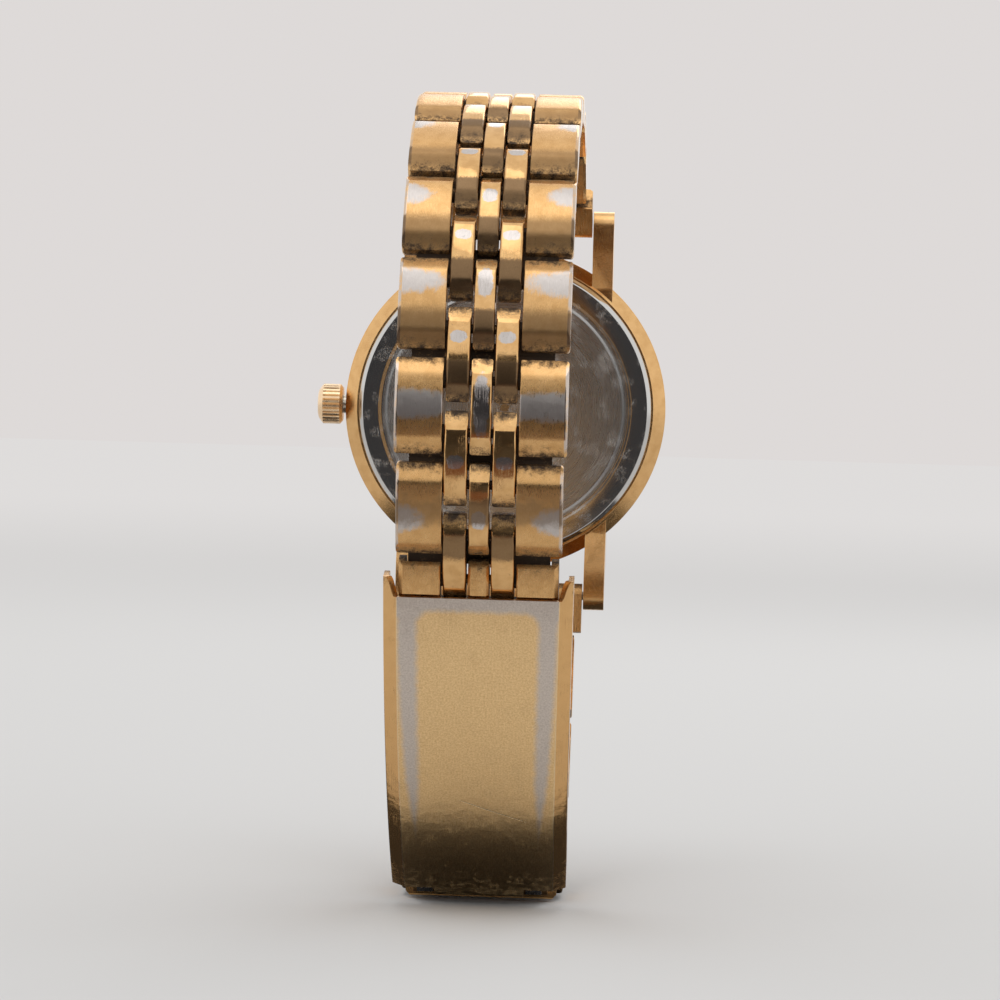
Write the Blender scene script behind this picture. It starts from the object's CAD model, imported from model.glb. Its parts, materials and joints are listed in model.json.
# Gentleman's analog wristwatch on a closed five-column bracelet, dressed around its CAD frame.
# Sizes are millimetres until the last step of each mesh, where MM turns them into metres.
import json
from math import asin, atan2, copysign, cos, hypot, pi, radians, sin, sqrt, tan

import bmesh
import bpy
from mathutils import Matrix, Vector

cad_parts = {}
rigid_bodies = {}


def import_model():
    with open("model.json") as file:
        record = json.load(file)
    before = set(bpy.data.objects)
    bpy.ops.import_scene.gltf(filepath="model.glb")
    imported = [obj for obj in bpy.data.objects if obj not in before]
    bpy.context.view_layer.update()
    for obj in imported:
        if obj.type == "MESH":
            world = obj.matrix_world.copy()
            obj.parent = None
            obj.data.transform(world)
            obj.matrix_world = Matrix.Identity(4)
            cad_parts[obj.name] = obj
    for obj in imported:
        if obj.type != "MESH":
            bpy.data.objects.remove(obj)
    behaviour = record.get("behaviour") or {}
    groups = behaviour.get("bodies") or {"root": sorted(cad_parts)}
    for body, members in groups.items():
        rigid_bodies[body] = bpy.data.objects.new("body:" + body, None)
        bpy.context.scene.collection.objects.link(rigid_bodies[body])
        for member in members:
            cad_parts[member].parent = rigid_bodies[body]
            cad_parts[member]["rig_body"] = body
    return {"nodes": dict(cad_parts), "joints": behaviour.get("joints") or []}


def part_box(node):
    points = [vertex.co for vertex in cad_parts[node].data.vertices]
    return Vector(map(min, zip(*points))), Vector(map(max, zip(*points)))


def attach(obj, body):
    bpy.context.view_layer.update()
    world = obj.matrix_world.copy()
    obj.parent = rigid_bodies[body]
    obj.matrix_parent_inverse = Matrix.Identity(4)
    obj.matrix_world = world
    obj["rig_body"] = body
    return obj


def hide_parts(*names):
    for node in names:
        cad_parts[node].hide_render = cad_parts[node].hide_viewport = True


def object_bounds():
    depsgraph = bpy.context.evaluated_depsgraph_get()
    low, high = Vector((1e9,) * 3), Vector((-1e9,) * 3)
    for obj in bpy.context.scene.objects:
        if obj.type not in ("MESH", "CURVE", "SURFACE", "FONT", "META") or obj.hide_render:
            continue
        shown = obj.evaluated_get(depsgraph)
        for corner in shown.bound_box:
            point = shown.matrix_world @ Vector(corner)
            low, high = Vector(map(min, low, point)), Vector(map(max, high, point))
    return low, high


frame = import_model()
cad_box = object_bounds()

# Studio
# A seamless pale table under an even dome, with two large soft boxes. Black and brown cloths on
# the table, seen only in reflections, give the metal something dark to mirror.
MM = 0.001
scene = bpy.context.scene
scene.view_settings.view_transform = "Standard"


def new_object(name, data):
    obj = bpy.data.objects.new(name, data)
    scene.collection.objects.link(obj)
    return obj


class Value:
    """One output of a node. Sums on it become math nodes of the same tree."""

    def __init__(self, wires, socket):
        self.wires = wires
        self.socket = socket

    def __add__(self, other):
        return self.wires.math("ADD", self, other)

    def __sub__(self, other):
        return self.wires.math("SUBTRACT", self, other)

    def __rsub__(self, other):
        return self.wires.math("SUBTRACT", other, self)

    def __mul__(self, other):
        return self.wires.math("MULTIPLY", self, other)

    def __truediv__(self, other):
        return self.wires.math("DIVIDE", self, other)

    def __pow__(self, power):
        return self.wires.math("POWER", self, power)

    def __abs__(self):
        return self.wires.math("ABSOLUTE", self)

    __radd__ = __add__
    __rmul__ = __mul__


class Wires:
    """Adds nodes to a tree. What is another node's output is linked, anything else is set."""

    def __init__(self, tree):
        self.tree = tree

    def put(self, socket, value):
        if isinstance(value, Value):
            self.tree.links.new(value.socket, socket)
        else:
            socket.default_value = value

    def make(self, kind, *values, settings=None, **named):
        """A new node. Values fill its inputs in order, named ones by name, with _ for a space."""
        node = self.tree.nodes.new(kind)
        for label, setting in (settings or {}).items():
            setattr(node, label, setting)
        for socket, value in zip(node.inputs, values):
            self.put(socket, value)
        for label, value in named.items():
            self.put(node.inputs[label.replace("_", " ")], value)
        return node

    def get(self, kind, *values, **more):
        """The first output of a new node."""
        return Value(self, self.make(kind, *values, **more).outputs[0])

    def named(self, outputs):
        return {output.name: Value(self, output) for output in outputs}

    def math(self, operation, *values):
        return self.get("ShaderNodeMath", *values, settings={"operation": operation})

    def larger(self, a, b):
        return self.math("MAXIMUM", a, b)

    def distance(self, a, b):
        return self.math("SQRT", a * a + b * b)

    def step(self, value, low, high, start=0.0, end=1.0):
        """start where value is at low, end where it is at high, and smooth between."""
        return self.get("ShaderNodeMapRange", value, low, high, start, end,
                        settings={"interpolation_type": "SMOOTHSTEP"})

    def noise(self, vector, scale, detail=3.0, rough=0.55):
        return self.get("ShaderNodeTexNoise", Vector=vector, Scale=scale, Detail=detail, Roughness=rough)

    def stretch(self, vector, scale, turn=(0, 0, 0)):
        return self.get("ShaderNodeMapping", Vector=vector, Scale=scale, Rotation=turn)

    def mix(self, factor, a, b):
        """A colour between a and b."""
        node = self.make("ShaderNodeMix", factor, settings={"data_type": "RGBA"})
        self.put(node.inputs[6], a)
        self.put(node.inputs[7], b)
        return Value(self, node.outputs[2])

    def combine(self, *parts):
        return self.get("ShaderNodeCombineXYZ", *parts)

    def split(self, vector):
        return [Value(self, output) for output in self.make("ShaderNodeSeparateXYZ", vector).outputs]

    def attribute(self, name, output="Vector"):
        node = self.make("ShaderNodeAttribute", settings={"attribute_name": name})
        return Value(self, node.outputs[output])

    def place(self):
        """Object coordinates in millimetres."""
        spots = self.named(self.make("ShaderNodeTexCoord").outputs)
        return self.stretch(spots["Object"], (1 / MM,) * 3)

    def bump(self, height, depth, **under):
        """A normal from a height map of a depth in millimetres, over another Normal if given."""
        return self.get("ShaderNodeBump", Height=height, Distance=depth * MM, **under)

    def use(self, group, **values):
        """The outputs of a node group by name."""
        return self.named(self.make("ShaderNodeGroup", settings={"node_tree": group}, **values).outputs)

    def shade(self, **values):
        """Sets or links inputs of the material's shader."""
        inputs = self.tree.nodes["Principled BSDF"].inputs
        for label, value in values.items():
            self.put(inputs[label.replace("_", " ")], value)


def new_material(name):
    """A new material and the wires of its tree."""
    mat = bpy.data.materials.new(name)
    mat.use_nodes = True
    return mat, Wires(mat.node_tree)


def sheets(name, strips):
    """One mesh of rectangles, each from a half width and the (y, z) of its two edges."""
    corners, faces = [], []
    for half, (y0, z0), (y1, z1) in strips:
        faces.append(tuple(range(len(corners), len(corners) + 4)))
        corners += [(-half, y0, z0), (half, y0, z0), (half, y1, z1), (-half, y1, z1)]
    mesh = bpy.data.meshes.new(name)
    mesh.from_pydata([[c * MM for c in corner] for corner in corners], [], faces)
    return new_object(name, mesh)


TABLE_NEAR = (0.64, 0.635, 0.63, 1)
TABLE_FAR = (0.775, 0.76, 0.755, 1)
TABLE_HALF, TABLE_GAP, CLOTH_RISE = 3000, 0.3, 0.5
PALER_FROM, PALER_TO = 200.0, 1500.0
table_z = cad_box[0].z / MM - TABLE_GAP
table = sheets("table", [(TABLE_HALF, (-TABLE_HALF, table_z), (TABLE_HALF, table_z))])
paper, w = new_material("table_paper")
x, y, z = w.split(w.place())
w.shade(Base_Color=w.mix(w.step(w.distance(x, y), PALER_FROM, PALER_TO), TABLE_NEAR, TABLE_FAR),
        Roughness=0.9, Specular_IOR_Level=0.0)
table.data.materials.append(paper)

# black from a step in front of the clasp outward and up, and under the watch; brown between
UNDER_FROM, UNDER_TO = -40, 42.5
BROWN_FROM, BLACK_FROM, BLACK_FOLD, BLACK_TOP = 128, 178, 560, (600, 185)
cloth_z = table_z + CLOTH_RISE
cloths = sheets("cloths", [(380, (BLACK_FROM, cloth_z), (BLACK_FOLD, cloth_z)),
                           (380, (BLACK_FOLD, cloth_z), BLACK_TOP),
                           (60, (UNDER_FROM, cloth_z), (UNDER_TO, cloth_z)),
                           (120, (BROWN_FROM, cloth_z), (BLACK_FROM, cloth_z))])
for name, color in (("cloth_black", (0.035, 0.033, 0.035, 1)), ("cloth_brown", (0.17, 0.085, 0.06, 1))):
    felt, w = new_material(name)
    w.shade(Base_Color=color, Roughness=0.8)
    cloths.data.materials.append(felt)
cloths.data.polygons[3].material_index = 1
for ray in ("camera", "diffuse", "shadow", "transmission"):
    setattr(cloths, "visible_" + ray, False)

SKY_ON_THINGS = (0.95, 0.945, 0.94, 1)
SKY_BEHIND = (0.73, 0.70, 0.69, 1)
world = bpy.data.worlds.new("dome")
scene.world = world
world.use_nodes = True
w = Wires(world.node_tree)
seen = w.named(w.make("ShaderNodeLightPath").outputs)
w.put(world.node_tree.nodes["Background"].inputs["Color"],
      w.mix(seen["Is Camera Ray"], SKY_ON_THINGS, SKY_BEHIND))


def soft_box(name, place, aim, width, height, watts):
    light = bpy.data.lights.new(name, "AREA")
    light.shape = "RECTANGLE"
    light.size = width * MM
    light.size_y = height * MM
    light.energy = watts
    lamp = new_object(name, light)
    lamp.location = [c * MM for c in place]
    lamp.rotation_euler = (Vector(aim) - Vector(place)).to_track_quat("-Z", "Y").to_euler()


soft_box("box_over", (60, 170, 520), (0, 30, 0), 420, 320, 0.30)
soft_box("box_back", (-120, -420, 360), (0, 20, 0), 360, 260, 0.4)

CAMERA_PLACE = (-18.2, 478.0, 2.5)
yaw, tilt, roll = (radians(a) for a in (2.208, -1.476, 1.603))
camera_data = bpy.data.cameras.new("camera")
camera = new_object("camera", camera_data)
scene.camera = camera
camera_data.sensor_width = 36
camera_data.lens = 160.3
camera_data.clip_start = 0.01
camera_data.clip_end = 20
sight = Vector((sin(yaw) * cos(tilt), -cos(yaw) * cos(tilt), sin(tilt)))
camera.location = [c * MM for c in CAMERA_PLACE]
camera.rotation_mode = "QUATERNION"
camera.rotation_quaternion = sight.to_track_quat("-Z", "Y") @ Matrix.Rotation(roll, 3, "Z").to_quaternion()

# Finishes
# Effects that several finishes share. Each is a node group that turns a place on the piece, in
# millimetres, into a mask or a height: the brush lines, the breaking edge of worn plate, the
# grime that settles in the gaps, and fine stray scratches.


def new_tree(name, kind, inputs, outputs):
    """A new node group: its wires, its inputs as values by name, and its output sockets."""
    tree = bpy.data.node_groups.new(name, kind)
    for label, socket, *preset in inputs:
        plug = tree.interface.new_socket(label, in_out="INPUT", socket_type="NodeSocket" + socket)
        if preset:
            plug.default_value = preset[0]
    for label, socket in outputs:
        tree.interface.new_socket(label, in_out="OUTPUT", socket_type="NodeSocket" + socket)
    w = Wires(tree)
    given = w.named(tree.nodes.new("NodeGroupInput").outputs)
    return w, given, tree.nodes.new("NodeGroupOutput").inputs


def mask_group(name, outputs, **presets):
    """A group that gives masks from a Place and from a number for each preset."""
    inputs = [("Place", "Vector")] + [(label, "Float", value) for label, value in presets.items()]
    return new_tree(name, "ShaderNodeTree", inputs, [(label, "Float") for label in outputs])


w, given, result = mask_group("brush_lines", ["Lines", "Cloud"], Across=14.0, Along=0.5)
brush_group = w.tree
fineness = w.combine(given["Across"], given["Along"], given["Across"])
lines = w.noise(w.stretch(given["Place"], fineness), 1.0, 5.0, 0.7)
w.put(result["Lines"], w.step(lines, 0.3, 0.7))
w.put(result["Cloud"], w.noise(given["Place"], 0.9, 4.0))

w, given, result = mask_group("broken_edge", ["Mask"], Field=0.0, Scale=1.6, Ragged=0.35, Soft=0.08)
break_group = w.tree
coarse = w.noise(given["Place"], given["Scale"], 5.0, 0.62) - 0.5
field = coarse * given["Ragged"] + given["Field"]
w.put(result["Mask"], w.step(field, 0.0 - given["Soft"], given["Soft"]))

w, given, result = mask_group("grime", ["Mask", "Speck"], Amount=0.5)
grime_group = w.tree
level = w.noise(given["Place"], 7.0, 6.0, 0.7) * 0.55 + w.noise(given["Place"], 1.3, 3.0) * 0.55
limit = 1.02 - given["Amount"]
w.put(result["Mask"], w.step(level, limit - 0.16, limit + 0.16))
w.put(result["Speck"], w.step(w.noise(given["Place"], 9.0, 2.0), 0.72, 0.80))

w, given, result = mask_group("stray_scratches", ["Mask"], Amount=0.5)
scratch_group = w.tree
hits = []
for turn, across in ((0.5, 3.1), (-0.9, 2.3), (2.2, 2.7)):
    run = w.stretch(given["Place"], (across * 3, 0.16, across), (0.1, 0.2, turn))
    line = w.step(abs(w.noise(run, 1.0, 2.0, 0.5) - 0.5), 0.012, 0.0)
    spread = w.stretch(given["Place"], (1, 1, 1), (0, 0, turn))
    hits.append(line * w.step(w.noise(spread, 0.45, 1.0), 0.55, 0.66))
w.put(result["Mask"], w.larger(w.larger(hits[0], hits[1]), hits[2]) * given["Amount"])

# the bracelet's gold plate over white base metal, tarnish, and the brown film in the gaps
GOLD_BRIGHT = (0.80, 0.49, 0.215, 1)
GOLD_DEEP = (0.60, 0.335, 0.125, 1)
BASE_METAL = (0.62, 0.57, 0.54, 1)
BASE_DEEP = (0.46, 0.42, 0.39, 1)
TARNISH_DEEP = (0.10, 0.062, 0.034, 1)
TARNISH_PALE = (0.26, 0.165, 0.09, 1)
FILM = (0.042, 0.024, 0.012, 1)
RUB_FROM, RUB_TO = 7.84, 7.98


def plate_finish(name, brushed):
    """Gold plate on a link, satin if brushed and else polished. It reads the piece's attributes:
    place is in millimetres on the link, spot is across 0 to 1, along 0 to 1 and the rise from
    the pins 0 to 1, worn is how much plate is off, where along, and how dirty the link is, and
    tarnish and band are where along it goes brown."""

    def either(satin, polished):
        return satin if brushed else polished

    mat, w = new_material(name)
    place = w.attribute("place")
    from_middle = abs(w.split(place)[0])
    seed = w.attribute("seed", "Fac")
    place = w.get("ShaderNodeVectorMath", place, w.combine(seed * 7.3, seed * 3.1, seed))
    u, v, rise = w.split(w.attribute("spot"))
    amount, middle, dirt = w.split(w.attribute("worn"))
    brush = w.use(brush_group, Place=place, Across=either(15.0, 5.0), Along=0.9)
    grain = w.noise(w.stretch(place, (1.6, 0.8, 1.6)), 6.5, 4.0, 0.75)
    # plate is worn where the arch stands highest: from the outer edge inward as it gets worse
    if brushed:
        off, across, power = (v - middle) / 0.27, (1.0 - u) / (amount * 1.3), 2.0
    else:
        off, across, power = (v - middle) / (amount * 0.42), (u - 0.5) / 0.36, 2.6
    inward = w.math("MINIMUM", abs(off) ** power + abs(across) ** power, 4.0)
    field = 0.5 - inward * 0.5 + (brush["Lines"] - 0.5) * either(0.2, 0.05)
    worn = w.use(break_group, Field=field, Place=place, Scale=either(1.1, 2.2), Ragged=0.9,
                 Soft=either(0.24, 0.14))["Mask"] * w.step(rise, 0.25, 0.6)
    # the band's outer edge rubs bare along each link
    rubbed = w.step(from_middle, RUB_FROM, RUB_TO) * w.step(rise, 0.2, 0.5) * w.step(amount, 0.25, 0.5)
    worn = w.larger(worn, rubbed * w.step(brush["Cloud"], 0.30, 0.55, 0.15, 0.85))
    # dirt keeps to the sides, the ends and what lies between the links
    low = w.step(rise, 0.72, 0.05) * w.step(rise, -0.87, -0.6) * w.step(u, 1.0, 0.93)
    low = w.larger(low, w.step(v, 1.6, 1.9) * 1.25)
    ends = w.step(abs(v - 0.45), 0.62, 0.88)
    grime = w.use(grime_group, Place=place, Amount=w.larger(low, ends * 0.6) * 0.34 + dirt)
    # brown at the lower end of some links, and in a band across others
    uneven = (grain - 0.5) * 0.25
    stain = w.step(v - w.attribute("tarnish", "Fac") + uneven, either(-0.12, -0.04), either(0.14, 0.04))
    away = abs(v - w.attribute("band", "Fac")) + (brush["Cloud"] - 0.5) * either(0.5, 0.2) + uneven
    stain = w.larger(stain, w.step(away, either(0.40, 0.33), either(0.12, 0.20), 0.0, 0.9))
    stain = stain * w.step(rise, 0.1, 0.4) * either(0.6, 0.92)
    scratch = w.use(scratch_group, Place=place, Amount=either(0.35, 0.6))["Mask"]
    gold = w.mix(w.step(brush["Cloud"], 0.35, 0.68) * 0.55, GOLD_BRIGHT, GOLD_DEEP)
    if brushed:
        gold = w.mix(brush["Lines"] * 0.28, gold, GOLD_DEEP)
        gold = w.mix(w.step(grain, 0.42, 0.66, 0.0, 0.5), gold, GOLD_DEEP)
    color = w.mix(worn, gold, w.mix(brush["Lines"] * 0.4, BASE_METAL, BASE_DEEP))
    color = w.mix(stain, color, w.mix(grain, TARNISH_DEEP, TARNISH_PALE))
    color = w.mix(grime["Mask"], color, FILM)
    rough = brush["Lines"] * 0.14 + 0.235 if brushed else brush["Cloud"] * 0.08 + 0.07
    rough = rough + worn * 0.04 + w.larger(grime["Mask"], stain * 0.7) * 0.35 - scratch * 0.05
    height = brush["Lines"] * either(1.0, 0.12) + grain * either(1.1, 0.2) + grime["Mask"] * 0.8
    dent = w.bump(w.noise(place, 0.9, 2.0), either(0.025, 0.012))
    w.shade(Base_Color=w.mix(grime["Speck"] * 0.35, color, FILM), Metallic=1.0 - grime["Mask"] * 0.6,
            Roughness=rough, Normal=w.bump(height - scratch * 1.2, 0.004, Normal=dent))
    return mat


satin_plate = plate_finish("gold_plate_satin", True)
polished_plate = plate_finish("gold_plate_polished", False)

# Bracelet rows
# Five columns: wide satin outer links, narrow polished beads and a centre link. Outer and centre
# links sit in one row on two pins; the beads of the next row, joined by a bridge under the
# centre link, overlap them by half a pitch. Stamped and plated, with their side edges rounded.
# The row frame has its first pin at the origin, y along the link and z out of the band.
PITCH = 4.95
# a link's reach past its pins, its crest over them, its underside below and its arch's radius
REACH, CREST, UNDER, ARCH_R = 2.1, 1.597, 1.4, 13.5
# the small facet on top of each end: how long and how steep
LIP_LENGTH, LIP_SLOPE = 1.5, 0.75
# the columns' sides, from the middle of the band
BAND_HALF, OUTER_IN, BEAD_OUT, BEAD_IN, CENTRE = 8.2, 3.65, 3.4, 1.2, 1.0
PIN_R, TUBE_R, TUBE_OUT, EDGE = 0.45, 0.8, 6.8, 0.06
SATIN, POLISHED = 0, 1
END_STEPS, ARCH_STEPS, FLOOR_STEPS = 12, 36, 6


class Shape:
    """Points, faces, material slots and spots of a mesh that is being put together."""

    def __init__(self):
        self.points, self.faces, self.slots, self.spots = [], [], [], []

    def add(self, point, spot=(0.0, 2.0, 0.0)):
        self.points.append(point)
        self.spots.append(spot)

    def skin(self, rings, count, slots=None, capped=True):
        """Faces between the last rings, each of count points, and across both ends if capped."""
        first = len(self.points) - rings * count
        for ring in range(rings - 1):
            for k in range(count):
                a, b = (first + ring * count + j for j in (k, (k + 1) % count))
                self.faces.append((a, b, b + count, a + count))
                self.slots.append(slots[ring] if slots else SATIN)
        if capped:
            last = len(self.points) - count
            self.faces += [tuple(range(first, first + count)), tuple(reversed(range(last, last + count)))]
            self.slots += [POLISHED if slots else SATIN] * 2

    def mirror(self):
        """The same again on the other side of the band."""
        n = len(self.points)
        self.points += [(-x, y, z) for x, y, z in self.points]
        self.faces += [tuple(n + v for v in reversed(face)) for face in self.faces]
        self.slots, self.spots = self.slots * 2, self.spots * 2


def arch_z(y, inset=0.0):
    return CREST - ARCH_R + sqrt((ARCH_R - inset) ** 2 - (y - PITCH / 2) ** 2)


def end_meets_arch(r, inset):
    """How far past its pin a link's round end, of radius r, meets the arch."""
    low, high = 0.0, r
    for _ in range(40):
        d = (low + high) / 2
        if sqrt(max(r * r - d * d, 0)) > arch_z(-d, inset):
            low = d
        else:
            high = d
    return low


def side_outline(inset):
    """Closed outline of a link seen from the side, [y, z]: up the first round end, over the
    arch, down the other end and back underneath. The same count of points for each inset."""
    r = REACH - inset
    low = asin(min(UNDER / r, 1))
    high = asin(max(min(arch_z(-end_meets_arch(r, inset), inset) / r, 1), -1))
    turns = [-low + (high + low) * k / END_STEPS for k in range(END_STEPS + 1)]
    end = [(-r * cos(a), r * sin(a)) for a in turns]
    start, width = end[-1][0], PITCH - 2 * end[-1][0]
    arch = [start + width * k / ARCH_STEPS for k in range(1, ARCH_STEPS)]
    points = end + [(y, arch_z(y, inset)) for y in arch] + [(PITCH - y, z) for y, z in reversed(end)]
    floor = [1 - k / FLOOR_STEPS for k in range(1, FLOOR_STEPS)]
    return points + [(end[0][0] + (PITCH - 2 * end[0][0]) * t, -UNDER) for t in floor]


def lipped(y, z):
    """The height z at y, less the small facet on top of each end."""
    d = min(y, PITCH - y) + REACH
    if z > 0 and d < LIP_LENGTH:
        return min(z, arch_z(LIP_LENGTH - REACH) - (LIP_LENGTH - d) * LIP_SLOPE)
    return z


def column(shape, x0, x1, edge_0, edge_1, finish):
    """One column of a row, lofted across from x0 to x1, with both side edges rounded. finish is
    its material; rounded edges wider than 0.2 mm and the sides are polished."""
    quarter = [pi / 2 * k / 4 for k in range(5)]
    inner = 7 if x1 - x0 > 3 else 3
    first = POLISHED if edge_0 > 0.2 else finish
    stations = [(x0 + edge_0 * (1 - cos(a)), edge_0 * (1 - sin(a)), first) for a in quarter]
    for k in range(1, inner):
        stations.append((x0 + edge_0 + (x1 - edge_1 - x0 - edge_0) * k / inner, 0.0, finish))
    stations += [(x1 - edge_1 + edge_1 * sin(a), edge_1 * (1 - cos(a)), POLISHED) for a in quarter]
    for x, inset, _ in stations:
        outline = side_outline(inset)
        for y, z in outline:
            z = lipped(y, z)
            shape.add((x, y, z), ((x - x0) / (x1 - x0), y / PITCH, z / CREST))
    slots = [min(a[2], b[2]) for a, b in zip(stations, stations[1:])]
    shape.skin(len(stations), len(outline), slots)


def prism(shape, outline, x0, x1):
    """A straight piece across the band with the outline [y, z], its end edges broken."""
    middle_y = sum(y for y, z in outline) / len(outline)
    middle_z = sum(z for y, z in outline) / len(outline)
    size = max(hypot(y - middle_y, z - middle_z) for y, z in outline)
    for x, k in ((x0, 1 - EDGE / size), (x0 + EDGE, 1), (x1 - EDGE, 1), (x1, 1 - EDGE / size)):
        for y, z in outline:
            shape.add((x, middle_y + (y - middle_y) * k, middle_z + (z - middle_z) * k))
    shape.skin(4, len(outline))


def circle(steps):
    return [2 * pi * k / steps for k in range(steps)]


def disc_outline(r, middle=0.0, steps=28):
    return [(middle + r * cos(a), r * sin(a)) for a in circle(steps)]


def hinge_outline(side):
    """A bead row's hinge tube about y = 0 with its plate to the middle of the row, on the y side
    that side, 1 or -1, tells."""
    turns = [radians(-90 + 11.25 * k) for k in range(17)]
    tube = [(-side * TUBE_R * cos(a), TUBE_R * sin(a)) for a in turns]
    plate = [(-side * 0.02, TUBE_R), (side * 0.55, 0.35), (side * PITCH / 2, -0.35),
             (side * PITCH / 2, -TUBE_R)]
    return [(y, z) for y, z in tube if z < TUBE_R - 0.01] + plate


def turned_out(mesh, smooth_angle, weld=0.0, flatten=False):
    """Faces the mesh outward and smooths the edges that turn by less than smooth_angle degrees.
    weld joins points that are nearer than that, flatten joins a CAD node's coplanar faces."""
    bm = bmesh.new()
    bm.from_mesh(mesh)
    if weld:
        bmesh.ops.remove_doubles(bm, verts=bm.verts, dist=weld)
    if flatten:
        bmesh.ops.dissolve_limit(bm, angle_limit=radians(0.6), verts=bm.verts, edges=bm.edges)
    else:
        bmesh.ops.recalc_face_normals(bm, faces=bm.faces)
    for edge in bm.edges:
        edge.smooth = edge.is_manifold and edge.calc_face_angle(0) < radians(smooth_angle)
    for face in bm.faces:
        face.smooth = smooth_angle > 0
    bm.to_mesh(mesh)
    bm.free()
    return mesh


def note(mesh, label, values):
    """Keeps a number or a vector for each point of the mesh."""
    if isinstance(values[0], float):
        mesh.attributes.new(label, "FLOAT", "POINT").data.foreach_set("value", values)
    else:
        layer = mesh.attributes.new(label, "FLOAT_VECTOR", "POINT")
        layer.data.foreach_set("vector", [c for value in values for c in value])


def shape_mesh(name, shape, place, materials, smooth_angle=32):
    """A mesh in the shape's own millimetres, with its place and spot kept as attributes."""
    mesh = bpy.data.meshes.new(name)
    mesh.from_pydata(shape.points, [], shape.faces)
    for material in materials:
        mesh.materials.append(material)
    mesh.polygons.foreach_set("material_index", shape.slots)
    note(mesh, "place", place)
    note(mesh, "spot", shape.spots)
    return turned_out(mesh, smooth_angle)


wide_row = Shape()
column(wide_row, OUTER_IN, BAND_HALF, 0.12, 0.30, SATIN)
wide_row.mirror()
column(wide_row, -CENTRE, CENTRE, 0.22, 0.22, POLISHED)
for pin_y in (0.0, PITCH):
    prism(wide_row, disc_outline(PIN_R, pin_y), 0.1 - BAND_HALF, BAND_HALF - 0.1)

bead_row = Shape()
column(bead_row, BEAD_IN, BEAD_OUT, 0.25, 0.25, POLISHED)
for pin_y, side in ((0.0, 1), (PITCH, -1)):
    prism(bead_row, [(y + pin_y, z) for y, z in hinge_outline(side)], BEAD_OUT - 0.1, TUBE_OUT)
bead_row.mirror()
BRIDGE_END, BRIDGE_LOW, BRIDGE_TOP = 1.2, -1.35, -0.75
prism(bead_row, [(BRIDGE_END, BRIDGE_LOW), (PITCH - BRIDGE_END, BRIDGE_LOW), (PITCH - BRIDGE_END, BRIDGE_TOP),
                 (BRIDGE_END, BRIDGE_TOP)], -BEAD_IN - 0.1, BEAD_IN + 0.1)

# one tree sets a row's mesh in its place along the band, narrows it, and notes its wear
NOTES = (("Worn", "Vector", "FLOAT_VECTOR"), ("Seed", "Float", "FLOAT"), ("Tarnish", "Float", "FLOAT"),
         ("Band", "Float", "FLOAT"))
w, given, result = new_tree("row_in_band", "GeometryNodeTree", [
    ("Geometry", "Geometry"), ("Pin", "Vector"), ("Turn", "Vector"), ("Width", "Float"),
    *(label[:2] for label in NOTES)], [("Geometry", "Geometry")])
row_tree = w.tree
row = w.get("GeometryNodeTransform", Geometry=given["Geometry"], Scale=w.combine(given["Width"], 1, 1))
row = w.get("GeometryNodeTransform", Geometry=row, Rotation=given["Turn"], Translation=given["Pin"])
for label, _, kind in NOTES:
    row = w.get("GeometryNodeStoreNamedAttribute", settings={"data_type": kind, "domain": "POINT"},
                Geometry=row, Name=label.lower(), Value=given[label])
row = w.get("GeometryNodeTransform", Geometry=row, Scale=(MM, MM, MM))
row = w.get("GeometryNodeRealizeInstances", Geometry=row)
for slot, material in enumerate((satin_plate, polished_plate)):
    same = w.make("FunctionNodeCompare", settings={"data_type": "INT", "operation": "EQUAL"})
    w.put(same.inputs[2], w.get("GeometryNodeInputMaterialIndex"))
    w.put(same.inputs[3], slot)
    chosen = Value(w, same.outputs[0])
    row = w.get("GeometryNodeSetMaterial", Geometry=row, Selection=chosen, Material=material)
w.put(result[0], row)


def plain_mesh(carrier, name):
    """The mesh that an object's modifiers make, as plain data. The object itself goes."""
    graph = bpy.context.evaluated_depsgraph_get()
    made = bpy.data.meshes.new_from_object(carrier.evaluated_get(graph), preserve_all_data_layers=True,
                                           depsgraph=graph)
    carrier.modifiers.clear()
    bpy.data.objects.remove(carrier)
    made.name = name
    return made


def from_tree(name, mesh, tree, values):
    """The mesh that a Geometry Nodes tree makes of another one."""
    carrier = new_object(name + "_raw", mesh)
    modifier = carrier.modifiers.new("tree", "NODES")
    modifier.node_group = tree
    sockets = {s.name: s.identifier for s in tree.interface.items_tree if s.in_out == "INPUT"}
    for label, value in values.items():
        modifier[sockets[label]] = value
    return plain_mesh(carrier, name)


def dress(name, mesh, body, node=None):
    piece = new_object(name, mesh)
    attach(piece, body)
    if node:
        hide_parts(node)


def middle_of(node):
    low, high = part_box(node)
    return (low.y + high.y) / 2 / MM, (low.z + high.z) / 2 / MM


def reach_of(node):
    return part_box(node)[1].x / MM


def row_turn(pins, i, lower):
    """Turns a row's frame to lie along its pins. The lower chain's rows are turned over."""
    (y0, z0), (y1, z1) = pins[i:i + 2]
    turn = Matrix.Rotation(atan2(z1 - z0, y1 - y0), 3, "X")
    return turn @ Matrix.Rotation(pi, 3, "Y") if lower else turn


UPPER_ROWS, LOWER_ROWS = 19, 8
joint_at = {j["name"]: tuple(c / MM for c in j["pos_m"][1:]) for j in frame["joints"]
            if j["type"] == "hinge"}
upper_pins = [middle_of("upper_spring_bar")]
upper_pins += [joint_at[f"upper_hinge_{i}"] for i in range(1, UPPER_ROWS + 1)] + [joint_at["cover_bar_hinge"]]
lower_pins = [joint_at["lower_lug_hinge"]]
lower_pins += [joint_at[f"lower_hinge_{i}"] for i in range(1, LOWER_ROWS + 1)] + [joint_at["base_leaf_hinge"]]

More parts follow.
